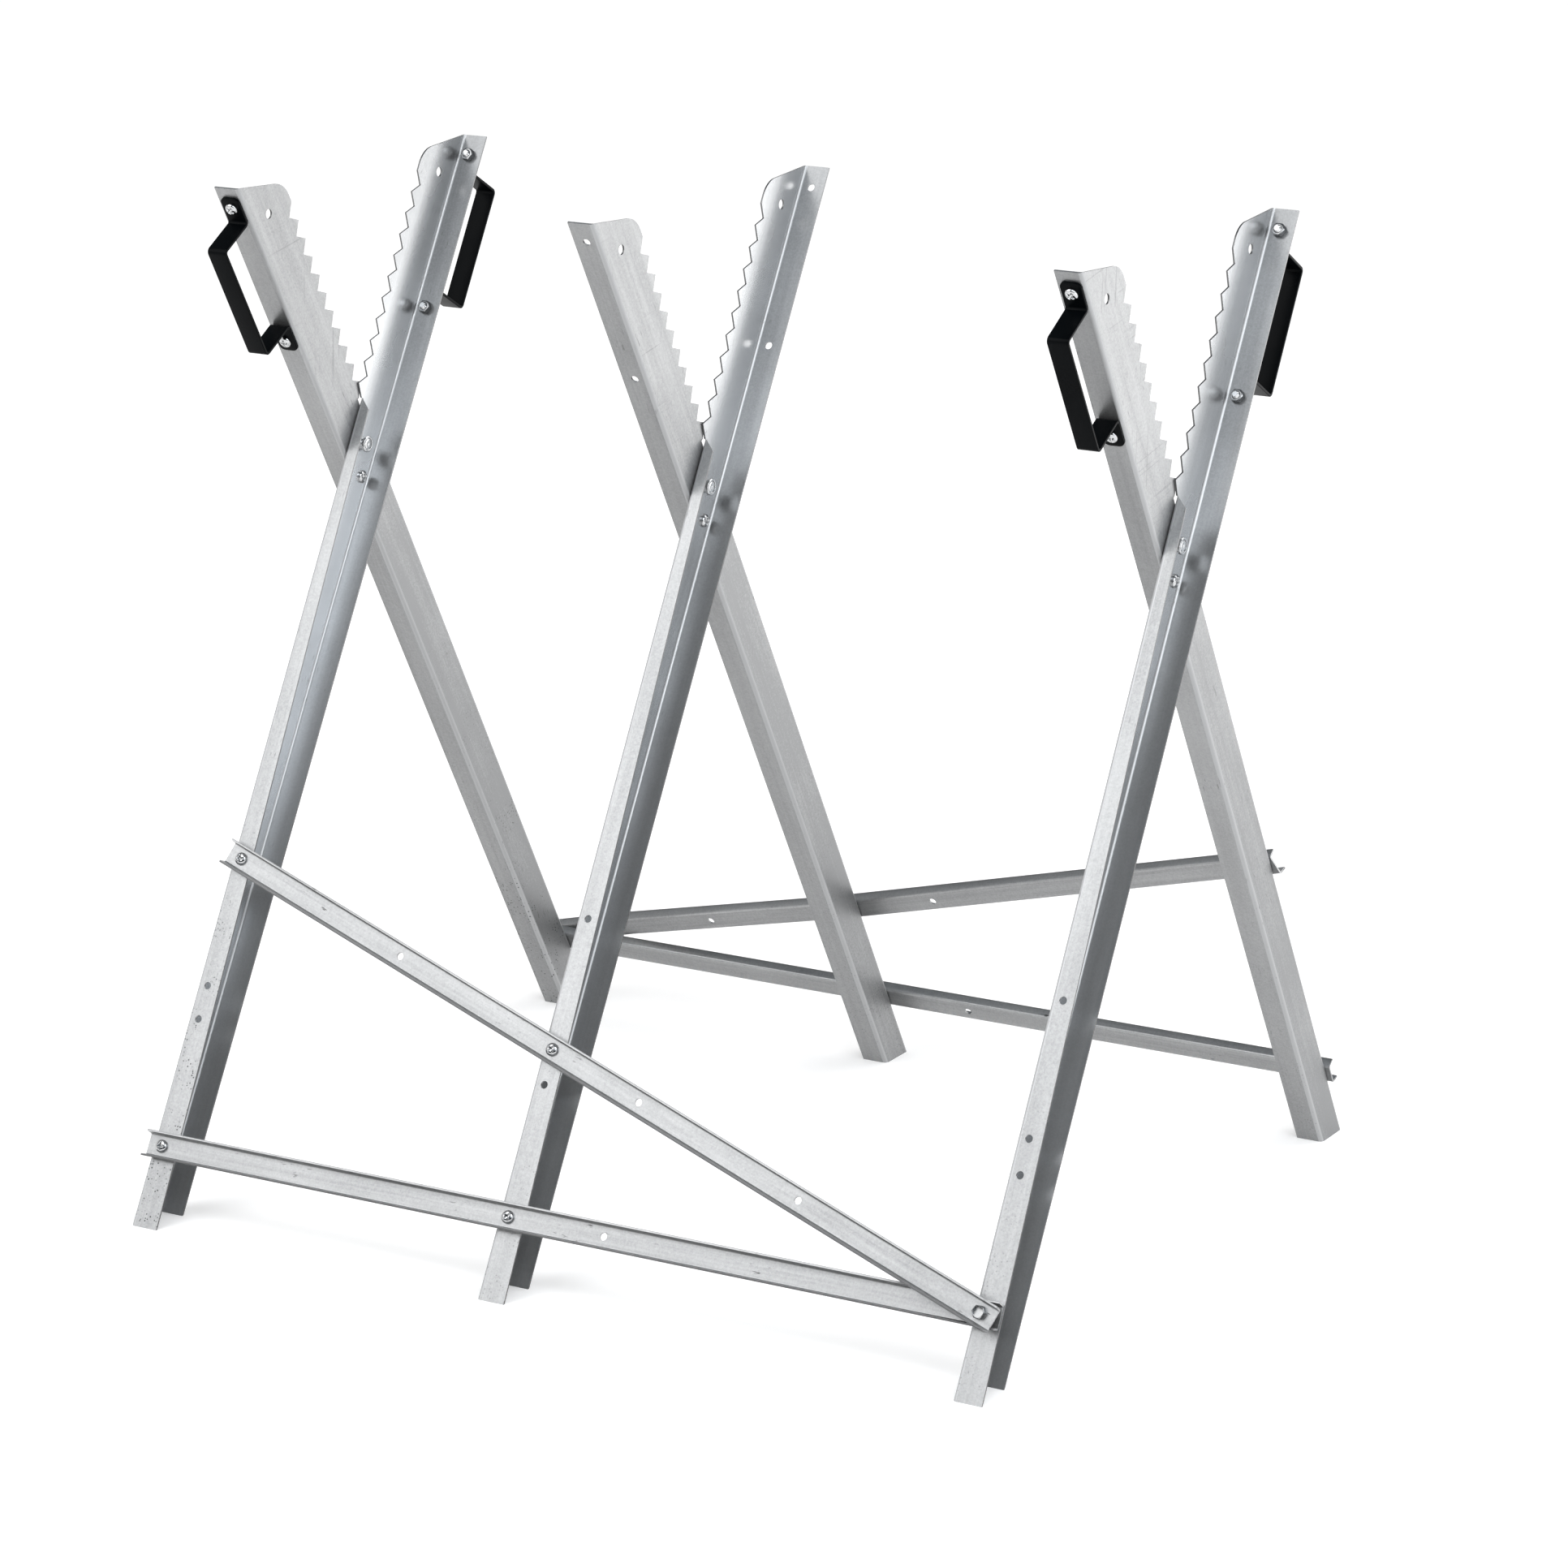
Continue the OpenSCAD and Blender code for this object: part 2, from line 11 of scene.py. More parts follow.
import bmesh
import bpy
import numpy as np
from mathutils import Euler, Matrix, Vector

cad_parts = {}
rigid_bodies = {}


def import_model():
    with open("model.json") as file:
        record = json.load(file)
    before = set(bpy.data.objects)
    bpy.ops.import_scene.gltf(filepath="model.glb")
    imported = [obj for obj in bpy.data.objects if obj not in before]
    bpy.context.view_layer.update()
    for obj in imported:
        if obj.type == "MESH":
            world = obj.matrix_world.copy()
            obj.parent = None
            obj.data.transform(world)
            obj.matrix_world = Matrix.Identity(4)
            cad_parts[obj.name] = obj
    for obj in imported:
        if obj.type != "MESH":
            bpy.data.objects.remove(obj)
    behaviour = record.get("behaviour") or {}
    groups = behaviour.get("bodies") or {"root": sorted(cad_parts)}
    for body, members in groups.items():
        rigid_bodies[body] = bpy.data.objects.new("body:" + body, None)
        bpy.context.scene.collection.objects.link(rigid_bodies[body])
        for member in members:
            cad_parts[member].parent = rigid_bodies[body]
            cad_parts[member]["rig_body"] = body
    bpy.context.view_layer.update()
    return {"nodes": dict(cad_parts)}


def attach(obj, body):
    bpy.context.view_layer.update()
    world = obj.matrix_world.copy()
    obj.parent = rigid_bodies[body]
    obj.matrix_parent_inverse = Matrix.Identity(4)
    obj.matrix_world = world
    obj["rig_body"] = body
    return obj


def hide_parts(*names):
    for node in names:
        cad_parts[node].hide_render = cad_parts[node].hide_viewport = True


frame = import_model()
scene = bpy.context.scene

# %% [markdown]
# ## Where things are
# A leg leans by one angle, to the rear on the front frame and to the front on the rear frame. A screw's
# place could be typed in, but it is safer to measure it on the solid that it stands for. Each solid is
# small and far from the next one, so all corners near one corner belong to the same solid.

# %% Measure the stand
MM = 0.001
SIDES = ("left", "middle", "right")
ENDS = {"front": -1, "rear": 1}
ALONG_ROW = np.array([1.0, 0.0, 0.0])
LEAN = math.radians(30.25)
BRACED_FLANGE_TURN = math.radians(0.6)


def facing(end, tip):
    """A direction square to the row of legs: towards the front or the rear, tipped up by an angle."""
    return np.array([0.0, ENDS[end] * math.cos(tip), math.sin(tip)])


def solids(node, reach=40 * MM):
    """The corners of each solid of a node. All corners within reach of one corner are one solid."""
    mesh = frame["nodes"][node].data
    points = np.empty(3 * len(mesh.vertices))
    mesh.vertices.foreach_get("co", points)
    points = points.reshape(-1, 3)
    found = []
    while len(points):
        near = np.linalg.norm(points - points[0], axis=1) < reach
        found.append(points[near])
        points = points[~near]
    return found


def middles(node):
    """The middle of the box of each solid of a node."""
    return np.array([(points.min(axis=0) + points.max(axis=0)) / 2 for points in solids(node)])


def lie(points, axis):
    """How a turned solid lies: its own three directions, the middle of its axis, and its two ends on it."""
    first = np.array([0.0, 1.0, 0.0]) if np.allclose(axis, ALONG_ROW) else ALONG_ROW
    own = np.stack([first, np.cross(axis, first), axis])
    local = points @ own.T
    low, high = local.min(axis=0), local.max(axis=0)
    return own, (low + high)[:2] / 2, low[2], high[2]


brace_out = {end: facing(end, LEAN - BRACED_FLANGE_TURN) for end in ENDS}
handle_out = {end: facing(end, -LEAN) for end in ENDS}
print("brace screws on the front frame:", len(solids("brace_screws_front")))

# %% [markdown]
# ## Camera
# The photograph's camera stands to the right of the stand, above its top, and looks slightly down with a
# long lens. It could be set by eye, but fitting it to the feet, tooth tips and holes, which repeat from leg
# to leg, finds the lens as well. Its picture is square.

# %% Make the camera
PICTURE_PX = 1932
FOCAL_PX = 6632
SENSOR_MM = 36
CAMERA_PLACE = Vector((2.1812, -3.7449, 1.5596))
CAMERA_AIM = Vector((0.0318, 0, 0.3516))
camera = bpy.data.objects.new("camera", bpy.data.cameras.new("camera"))
camera.data.sensor_width = SENSOR_MM
camera.data.lens = SENSOR_MM * FOCAL_PX / PICTURE_PX
camera.location = CAMERA_PLACE
camera.rotation_euler = (CAMERA_AIM - CAMERA_PLACE).to_track_quat("-Z", "Y").to_euler()
scene.collection.objects.link(camera)
scene.camera = camera
scene.view_settings.view_transform = "Standard"
print("lens:", round(camera.data.lens, 2), "mm")

# %% [markdown]
# ## Shader nodes in few words
# Every finish is a small graph of nodes. It could be drawn by hand in the node editor, but a helper that
# adds a node, sets it and links it in one call keeps a graph as short to read as the sum that it works out.

# %% Helpers that add nodes


def add(tree, kind, sockets=None, **settings):
    """Adds one shader node. An entry of sockets is a plain value or the output of another node."""
    made = tree.nodes.new("ShaderNode" + kind)
    for name, value in settings.items():
        setattr(made, name, value)
    for key, value in (sockets or {}).items():
        if isinstance(value, bpy.types.NodeSocket):
            tree.links.new(value, made.inputs[key])
        else:
            made.inputs[key].default_value = value
    return made


def noise(tree, vector, per_metre, detail=3.0, roughness=0.5):
    """Cloudy noise from 0 to 1, with so many clouds to a metre."""
    sockets = {"Vector": vector, "Scale": per_metre, "Detail": detail, "Roughness": roughness}
    return add(tree, "TexNoise", sockets).outputs[0]


def span(tree, value, start, full, at_start=0.0, at_full=1.0):
    """A level that goes evenly from at_start, where the value is start, to at_full, and holds both ends."""
    sockets = {0: value, 1: start, 2: full, 3: at_start, 4: at_full}
    return add(tree, "MapRange", sockets).outputs[0]


def mix(tree, factor, a, b):
    """Colour a where factor is 0, b where it is 1."""
    return add(tree, "Mix", {0: factor, 6: a, 7: b}, data_type="RGBA").outputs[2]


print("node helpers: add, noise, span, mix")

# %% [markdown]
# ## Sums in a graph
# A mark that is in two masks at once is their product, and a tone is a weighed sum of patterns. One Math
# node does one step, so short names for these sums keep the graphs below readable.

# %% Helpers that do sums


def calc(tree, operation, a, b):
    """One sum of two values."""
    return add(tree, "Math", {0: a, 1: b}, operation=operation).outputs[0]


def times(tree, first, *others):
    """The product of some values."""
    for other in others:
        first = calc(tree, "MULTIPLY", first, other)
    return first


def unsigned(tree, value):
    """A value without its sign."""
    return add(tree, "Math", {0: value}, operation="ABSOLUTE").outputs[0]


def component(tree, vector, way):
    """The part of a vector that lies along a direction."""
    return add(tree, "VectorMath", {0: vector, 1: way}, operation="DOT_PRODUCT").outputs["Value"]


def weigh(tree, *terms):
    """The sum of some values, each times its weight."""
    total = times(tree, *terms[0])
    for value, weight in terms[1:]:
        total = calc(tree, "ADD", total, times(tree, value, weight))
    return total


print("sum helpers: calc, times, unsigned, component, weigh")

# %% [markdown]
# ## Greys and materials
# Everything on the stand is a grey, some a little cooler than others. A colour could be three numbers each
# time, but one level and one lean to blue say more.

# %% Helpers for colours and materials


def grey(level, cool=0.0):
    """A grey, with a little more blue where cool is above 0."""
    return (level * (1 - cool), level, level * (1 + cool), 1.0)


def new_material(name):
    """A material with its graph and its shader, ready to be linked."""
    material = bpy.data.materials.new(name)
    material.use_nodes = True
    return material, material.node_tree, material.node_tree.nodes["Principled BSDF"]


print("white:", grey(1.0))

# %% [markdown]
# ## Floor
# The photograph has a white ground. A floor could be lit until it is white, but that would wash out the
# metal. So the floor is pale, keeps its shadow, and a faint glow that only the eye sees lifts it to white,
# more so further out, where the lamps don't reach.

# %% Make the floor
FLOOR_REACH = 40.0
GLOW_REACH = (0.6, 3.2)


def eye_rays(tree):
    """1 on what the camera sees, straight or in a mirror or glass, and 0 on light that scatters."""
    path = add(tree, "LightPath").outputs
    seen = calc(tree, "MAXIMUM", path["Is Camera Ray"], path["Is Transmission Ray"])
    return calc(tree, "MAXIMUM", seen, path["Is Glossy Ray"])


def make_floor():
    """A flat square round the origin, at the height of the feet."""
    corners = FLOOR_REACH * np.array([[-1, -1, 0], [1, -1, 0], [1, 1, 0], [-1, 1, 0]])
    mesh = bpy.data.meshes.new("floor")
    mesh.from_pydata(corners.tolist(), [], [[0, 1, 2, 3]])
    floor = bpy.data.objects.new("floor", mesh)
    scene.collection.objects.link(floor)
    material, tree, shader = new_material("pale_floor")
    shader.inputs["Base Color"].default_value = grey(0.92)
    shader.inputs["Roughness"].default_value = 0.9
    shader.inputs["Specular IOR Level"].default_value = 0.0
    shader.inputs["Emission Color"].default_value = grey(1.0)
    away = add(tree, "VectorMath", {0: add(tree, "TexCoord").outputs["Object"]}, operation="LENGTH")
    glow = span(tree, away.outputs["Value"], *GLOW_REACH, at_start=0.19, at_full=0.56)
    tree.links.new(times(tree, eye_rays(tree), glow), shader.inputs["Emission Strength"])
    mesh.materials.append(material)
    return floor


print("floor:", make_floor().name)

# %% [markdown]
# ## Room
# Metal shows whatever is around it, so the room matters more than the lamps. A picture of a studio could be
# wrapped round the scene, but a few plain zones are easier to steer. Behind the stand is a white backdrop.
# Above it, and behind the camera, the room is dim: that makes the insides of the channels dark, and gives
# the small fasteners their dark sides. The eye itself sees a white horizon all round.

# %% Make the room
BACKDROP_WAY = (-0.5, 0.86, 0.0)
BACKDROP_EDGE = (-0.3, 0.2)
BACKDROP_TOP = (0.3, 0.62)
DIM_ROOM, DIM_CEILING = grey(0.07, 0.1), grey(0.18, 0.14)
SCATTERED_LIGHT = 0.5


def make_room():
    """Plain light from all round. What is seen is the backdrop up to some height, and the dim room."""
    world = bpy.data.worlds.new("studio")
    world.use_nodes = True
    tree = world.node_tree
    tree.nodes.clear()
    direction = add(tree, "TexCoord").outputs["Generated"]
    height = add(tree, "SeparateXYZ", {0: direction}).outputs["Z"]
    behind = span(tree, component(tree, direction, BACKDROP_WAY), *BACKDROP_EDGE)
    white = calc(tree, "MAXIMUM", behind, add(tree, "LightPath").outputs["Is Camera Ray"])
    horizon = mix(tree, white, DIM_ROOM, grey(1.0))
    seen = mix(tree, span(tree, height, *BACKDROP_TOP), horizon, DIM_CEILING)
    light = add(tree, "Background", {"Color": grey(1.0), "Strength": SCATTERED_LIGHT})
    sight = add(tree, "Background", {"Color": seen, "Strength": 1.0})
    both = add(tree, "MixShader", {0: eye_rays(tree), 1: light.outputs[0], 2: sight.outputs[0]})
    add(tree, "OutputWorld", {"Surface": both.outputs[0]})
    scene.world = world
    return world


print("room:", make_room().name)

# %% [markdown]
# ## Lamps
# A bare bulb would show in the metal as a hard glint, so the lamps are wide and soft. They stand where the
# faces of the stand mirror them to the camera. The key shines on the flanges and braces that face the front,
# and the back lamp does the same from behind, where the stand is a half-turn copy of its front. The fill
# shows twice mirrored inside the channels near their tops, and a dim board below it further down. The strip
# draws the bright line in the bends. The low rim lamp at the back shines on the upper parts of the webs.

# %% Make the lamps


def make_lamp(name, place, look_at, size, brightness, cool=0.0):
    """A soft rectangular lamp. Its power is its brightness times its area times pi."""
    data = bpy.data.lights.new(name, "AREA")
    data.shape = "RECTANGLE"
    data.size, data.size_y = size
    data.energy = brightness * size[0] * size[1] * math.pi
    data.color = grey(1.0, cool)[:3]
    lamp = bpy.data.objects.new(name, data)
    lamp.location = place
    lamp.rotation_euler = (Vector(look_at) - lamp.location).to_track_quat("-Z", "Y").to_euler()
    lamp.visible_camera = False
    scene.collection.objects.link(lamp)


make_lamp("key", place=(-1.2, -1.75, 2.05), look_at=(0, 0, 0.45), size=(2.2, 2.5), brightness=2.5)
make_lamp("back", place=(1.2, 1.75, 2.05), look_at=(0, 0, 0.45), size=(2.2, 2.5), brightness=1.7)
make_lamp("fill", place=(1.08, -1.26, 2.1), look_at=(0, 0.1, 0.75), size=(1.4, 0.75), brightness=3.3,
          cool=0.03)
make_lamp("board", place=(1.31, -1.55, 1.63), look_at=(0.23, -0.19, 0.28), size=(1.8, 0.9), brightness=1.3,
          cool=0.06)
make_lamp("strip", place=(1.95, -0.6, 1.2), look_at=(0, 0, 0.7), size=(1.9, 1.8), brightness=1.4, cool=0.02)
make_lamp("rim", place=(1.8, 2.2, 0.4), look_at=(0.2, 0, 0.5), size=(1.7, 0.8), brightness=1.8)

# %% [markdown]
# ## Marks on galvanised sheet
# Hot-dipped sheet has pits where it stood in the wet, rub marks from handling, and hairline scratches across
# the toothed webs. A painted picture could show them, but noise read from places in metres keeps its true
# size on every piece. The marks follow the length of a piece, so the space is first turned until that length
# is its Z axis, and then squeezed along it, which draws round clouds out to lines.

# %% Marks on the sheet
UP = (0, 0, 1)
PITTED_BELOW = (0.4, 0.05)
PITTED_LEFT_OF = (-0.2, -0.3)
SCRATCHED_ABOVE = (0.55, 0.65)
SCRATCH_SLANTS = (math.radians(-70), math.radians(32))
SCRATCH_PATCHES = (15.0, 19.0)


def own_space(tree, turn):
    """Places in metres, turned so that the piece's length is the Z axis."""
    place = add(tree, "TexCoord").outputs["Object"]
    return add(tree, "Mapping", {"Vector": place, "Rotation": turn}).outputs[0]


def drawn_out(tree, space, share):
    """The same space squeezed along the length, so that clouds in it become lines."""
    return add(tree, "Mapping", {"Vector": space, "Scale": (1.0, 1.0, share)}).outputs[0]


def place_along(tree, way):
    """How far a place lies along a direction, in metres."""
    return component(tree, add(tree, "TexCoord").outputs["Object"], way)


def facing_along(tree, way):
    """How much a face looks along a direction: 1 straight along it, 0 square to it, -1 against it."""
    return component(tree, add(tree, "TexCoord").outputs["Normal"], way)


def pits(tree, space):
    """Small dark pits: middles of some cells of a cell pattern, in clumps, most of them low on the left."""
    cells = add(tree, "TexVoronoi", {"Vector": space, "Scale": 430.0}).outputs
    spot = span(tree, cells["Distance"], start=0.36, full=0.2)
    lot = add(tree, "SeparateColor", {0: cells["Color"]}).outputs[0]
    chosen = span(tree, lot, start=0.55, full=0.6)
    clump = span(tree, noise(tree, space, per_metre=32.0, detail=2.0), start=0.44, full=0.56)
    low = span(tree, place_along(tree, UP), *PITTED_BELOW, at_start=0.03)
    left = span(tree, place_along(tree, ALONG_ROW), *PITTED_LEFT_OF, at_start=0.3)
    return times(tree, spot, chosen, clump, low, left)


def rubs(tree, space):
    """Short dark rub marks along the length: the peaks of drawn-out noise, in patches."""
    lines = noise(tree, drawn_out(tree, space, share=0.2), per_metre=420.0, detail=2.0, roughness=0.6)
    patches = noise(tree, space, per_metre=17.0, detail=2.0)
    return times(tree, span(tree, lines, start=0.64, full=0.72), span(tree, patches, start=0.56, full=0.66))


def scratches(tree, space):
    """Straight hairlines on the upper webs: the peaks of noise drawn far out at two slants, in patches."""
    marks = []
    for slant, per_metre in zip(SCRATCH_SLANTS, SCRATCH_PATCHES):
        slanted = add(tree, "Mapping", {"Vector": space, "Rotation": (slant, 0, 0)}).outputs[0]
        lines = noise(tree, drawn_out(tree, slanted, share=0.02), per_metre=400.0, detail=1.0)
        patch = span(tree, noise(tree, space, per_metre, detail=2.0), start=0.46, full=0.56)
        marks.append(times(tree, span(tree, lines, start=0.65, full=0.71), patch))
    high = span(tree, place_along(tree, UP), *SCRATCHED_ABOVE, at_start=0.1, at_full=0.5)
    return times(tree, calc(tree, "MAXIMUM", *marks), high)


print("marks: pits, rubs, scratches")

# %% [markdown]
# ## Edges, bends and insides
# Cut edges have no zinc and are darker; part of that darkness is painted shade. Bends are painted paler
# as a highlight, and the lips of the braces are painted dark as shade. Each could be painted by hand, but
# its place follows from the shape: how deep it lies in a leg, which way it faces, or how far it is from a
# brace's middle line.

# %% Find the edges, bends and insides
FLAT_ON = (0.9, 0.95)
WEB_DEPTH = (1.8 * MM, 1.6 * MM)
FLANGE_REACH = (5 * MM, 6 * MM)
BACK_DEPTH = {"outer": 10 * MM, "inner": 6 * MM}
LIP_REACH = (9.8 * MM, 11 * MM)


def lowest(node, way):
    """How far along a direction a node starts."""
    return min((points @ way).min() for points in solids(node))


def inner_side(tree, end):
    """1 on the inside of a leg's wide flange, which lies along the leg's back and faces its front."""
    out = facing(end, LEAN)
    back = lowest(f"leg_{end}_left", out)
    near = span(tree, place_along(tree, out), back + BACK_DEPTH["outer"], back + BACK_DEPTH["inner"])
    return times(tree, near, span(tree, facing_along(tree, out), start=0.1, full=0.5))


def cut_edges(tree, end, side):
    """1 on a leg's cut edges: the rims of its web, teeth and holes, and the rims of its flanges."""
    way = -ENDS[end] * ALONG_ROW
    reach = calc(tree, "SUBTRACT", place_along(tree, way), lowest(f"leg_{end}_{side}", way))
    flat = unsigned(tree, facing_along(tree, way))
    web_rim = times(tree, span(tree, reach, *WEB_DEPTH), span(tree, flat, start=0.6, full=0.5))
    flange_rim = times(tree, span(tree, reach, *FLANGE_REACH), span(tree, flat, *FLAT_ON))
    return calc(tree, "MAXIMUM", web_rim, flange_rim)


def bent(tree, outside):
    """1 on the few flats that make up a leg's bend: they face neither along the row nor square to it."""
    flat = unsigned(tree, outside)
    return times(tree, span(tree, flat, start=0.04, full=0.12), span(tree, flat, start=0.995, full=0.98))


def lip_rims(tree, space, turn, point):
    """1 along the rims of a brace, far from its middle line, which runs through a point."""
    middle = (Euler(turn).to_matrix() @ Vector(point)).x
    across = add(tree, "SeparateXYZ", {0: space}).outputs["X"]
    return span(tree, unsigned(tree, calc(tree, "SUBTRACT", across, middle)), *LIP_REACH)


print("front legs' backs start at", round(lowest("leg_front_left", facing("front", LEAN)), 3), "m")

# %% [markdown]
# ## Tone of the sheet
# Rolled zinc isn't one grey. It has soft clouds, broad streaks and fine lines along the rolling direction,
# and a grain of small crystals. Each could tint the colour by itself, but weighing them into one tone from 0
# to 1 lets each finish choose only its dark and its pale colour. The finest also raise the surface a little.

# %% Tone and finish of the sheet
DARK_ZINC, PALE_ZINC = grey(0.28, 0.01), grey(0.46, 0.006)
# The inside colours are painted light and shade, spread by height in the legs.
INSIDE_PAINTED_SHADE, INSIDE_PAINTED_LIGHT = grey(0.22, 0.012), grey(0.62, 0.018)
# The bend colour is a painted highlight.
# The grime colour also serves as painted shade: under down-facing faces, at cut edges and along the brace
# lips.
BEND_PAINTED_HIGHLIGHT, GRIME_AND_SHADE, PIT = grey(0.54, 0.01), grey(0.1), grey(0.05)
TONE_CONTRAST = 0.42
SHEET_METALLIC = 0.85
RELIEF_HEIGHT = 0.1 * MM


def sheet_tone(tree, space, lined):
    """The tone, 0 to 1, and the clouds and relief in it. Lined is the weight of the fine lines."""
    clouds = noise(tree, space, per_metre=9.0)
    streaks = noise(tree, drawn_out(tree, space, share=0.05), per_metre=90.0, detail=2.0)
    lines = noise(tree, drawn_out(tree, space, share=0.012), per_metre=420.0, detail=4.0, roughness=0.6)
    grain = noise(tree, space, per_metre=620.0, detail=2.0, roughness=0.7)
    cells = add(tree, "TexVoronoi", {"Vector": space, "Scale": 420.0}).outputs["Color"]
    crystals = add(tree, "SeparateColor", {0: cells}).outputs[0]
    terms = [(clouds, 0.8), (streaks, 0.6), (lines, lined), (grain, 0.8), (crystals, 0.15)]
    middle = sum(weight for _, weight in terms) / 2
    tone = span(tree, weigh(tree, *terms), middle - TONE_CONTRAST, middle + TONE_CONTRAST)
    return tone, clouds, weigh(tree, (lines, 0.4), (grain, 0.6))


def finish_sheet(tree, shader, colour, rough, relief):
    """Links a sheet's colour, roughness and relief. Faces that look down are darker with painted shade."""
    # Faces that look down are mixed towards the dark colour as painted shade.
    under = span(tree, facing_along(tree, UP), start=-0.1, full=-0.4, at_full=0.28)
    tree.links.new(mix(tree, under, colour, GRIME_AND_SHADE), shader.inputs["Base Color"])
    shader.inputs["Metallic"].default_value = SHEET_METALLIC
    tree.links.new(rough, shader.inputs["Roughness"])
    sockets = {"Strength": 0.2, "Distance": RELIEF_HEIGHT, "Height": relief}
    tree.links.new(add(tree, "Bump", sockets).outputs[0], shader.inputs["Normal"])


print("zinc from", DARK_ZINC[1], "to", PALE_ZINC[1])

# %% [markdown]
# ## Legs
# The sheet looks smooth inside the legs and dull outside, so the inside mirrors more. All legs could share
# one finish, but a leg's edges are found from the place of its web, so each leg has its own. A row of four
# numbers here is two heights in metres and the paleness at each of them; this paleness is light and shade
# painted by height.

# %% Finish of the legs
LEG_LINES = 0.5
# These rows paint light and shade inside the legs by height.
INNER_FLANGE_PAINTED_LIGHT = (0.2, 0.7, 1.0, 0.3)
INNER_WEB_PAINTED_LIGHT = (0.3, 0.7, 0.15, 0.7)
INNER_WEB_LEFT_PAINTED_LIGHT = {"rising": (0.12, 0.36, 0.25, 1.15), "falling": (0.6, 0.75, 1.15, 0.6)}
# The outer webs are darkened lower down as painted shade.
OUTER_WEB_PAINTED_SHADE = (0.7, 0.45, 0.0, -0.45)
SMOOTH_ROUGH, DULL_ROUGH = 0.22, 0.4
RUB_DEPTH, EDGE_WEAR_AND_SHADE = 0.5, 0.8


def painted_inside_light_and_shade(tree, side, tone, deep, height):
    """Painted light and shade on the smooth side: the flange is palest low down, the web palest higher up.
    """
    web = span(tree, height, *INNER_WEB_PAINTED_LIGHT)
    if side == "left":
        rising = span(tree, height, *INNER_WEB_LEFT_PAINTED_LIGHT["rising"])
        web = calc(tree, "MINIMUM", rising, span(tree, height, *INNER_WEB_LEFT_PAINTED_LIGHT["falling"]))
    flange = span(tree, height, *INNER_FLANGE_PAINTED_LIGHT)
    # The paleness here is painted light and shade.
    pale = weigh(tree, (deep, flange), (calc(tree, "SUBTRACT", 1.0, deep), web), (tone, -0.3))
    return mix(tree, pale, INSIDE_PAINTED_SHADE, INSIDE_PAINTED_LIGHT)


def leg_zinc(end, side):
    """A leg's sheet: dull, pitted and scratched outside, smooth inside, with light and shade painted by
    height, dark edges that are partly painted shade, and bends painted pale as a highlight.
    """
    material, tree, shader = new_material(f"leg_zinc_{end}_{side}")
    space = own_space(tree, (-ENDS[end] * LEAN, 0, 0))
    tone, clouds, relief = sheet_tone(tree, space, LEG_LINES)
    height = place_along(tree, UP)
    outside = facing_along(tree, ENDS[end] * ALONG_ROW)
    web, bend, deep = span(tree, outside, *FLAT_ON), bent(tree, outside), inner_side(tree, end)
    smooth = calc(tree, "MAXIMUM", deep, span(tree, outside, start=-0.2, full=-0.7))
    # Outside webs are darker lower down: painted shade.
    painted_low_shade = calc(tree, "ADD", tone, times(tree, web, span(tree, height, *OUTER_WEB_PAINTED_SHADE)))
    zinc = mix(tree, painted_low_shade, DARK_ZINC, PALE_ZINC)
    zinc = mix(tree, smooth, zinc, painted_inside_light_and_shade(tree, side, tone, deep, height))
    # Bends are painted paler: a painted highlight along them.
    zinc = mix(tree, bend, zinc, BEND_PAINTED_HIGHLIGHT)
    pit = times(tree, pits(tree, space), calc(tree, "SUBTRACT", 1.0, smooth))
    rub = calc(tree, "MAXIMUM", rubs(tree, space), times(tree, scratches(tree, space), web))
    # Cut edges are darkened: partly bare steel, partly painted shade along the edge.
    edge = times(tree, cut_edges(tree, end, side), EDGE_WEAR_AND_SHADE)
    wear_and_shade = calc(tree, "MAXIMUM", times(tree, rub, RUB_DEPTH), edge)
    colour = mix(tree, pit, mix(tree, wear_and_shade, zinc, GRIME_AND_SHADE), PIT)
    rolled = span(tree, outside, start=-0.6, full=0.6, at_start=SMOOTH_ROUGH, at_full=DULL_ROUGH)
    rough = weigh(tree, (rolled, 1.0), (clouds, 0.1), (pit, 0.3), (deep, -0.05), (bend, 0.14))
    finish_sheet(tree, shader, colour, rough, weigh(tree, (relief, 1.0), (pit, -1.0)))
    return material


def dress(node, material):
    """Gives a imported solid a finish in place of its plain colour."""
    slots = frame["nodes"][node].data.materials
    slots.clear()
    slots.append(material)


for end in ENDS:
    for side in SIDES:
        dress(f"leg_{end}_{side}", leg_zinc(end, side))
print("legs dressed:", len(ENDS) * len(SIDES))

# %% [markdown]
# ## Braces
# The braces show stronger lines than the legs. They could share one finish, but the lower brace lies level
# and the diagonal one slopes, so each has its own turned space. The slope is measured from its screw to its
# bolt.

# %% Finish of the braces
BRACE_LINES = 0.9
BRACE_ROUGH = 0.31
LIP_PAINTED_SHADE = 0.75
QUARTER_TURN = math.radians(90)


def brace_zinc(end, kind, tilt, screw):
    """A brace's sheet: strongly lined, with rub marks, and painted shade along the rims of the lips."""
    material, tree, shader = new_material(f"{kind}_zinc_{end}")
    turn = (-ENDS[end] * LEAN, tilt, 0)
    space = own_space(tree, turn)
    tone, clouds, relief = sheet_tone(tree, space, BRACE_LINES)
    # The rims of the lips are darkened as painted shade.
    rim = times(tree, lip_rims(tree, space, turn, screw), LIP_PAINTED_SHADE)
    wear_and_shade = calc(tree, "MAXIMUM", rubs(tree, space), rim)
    colour = mix(tree, wear_and_shade, mix(tree, tone, DARK_ZINC, PALE_ZINC), GRIME_AND_SHADE)
    rough = calc(tree, "ADD", weigh(tree, (clouds, 0.1), (rim, 0.1)), BRACE_ROUGH)
    finish_sheet(tree, shader, colour, rough, relief)
    return material


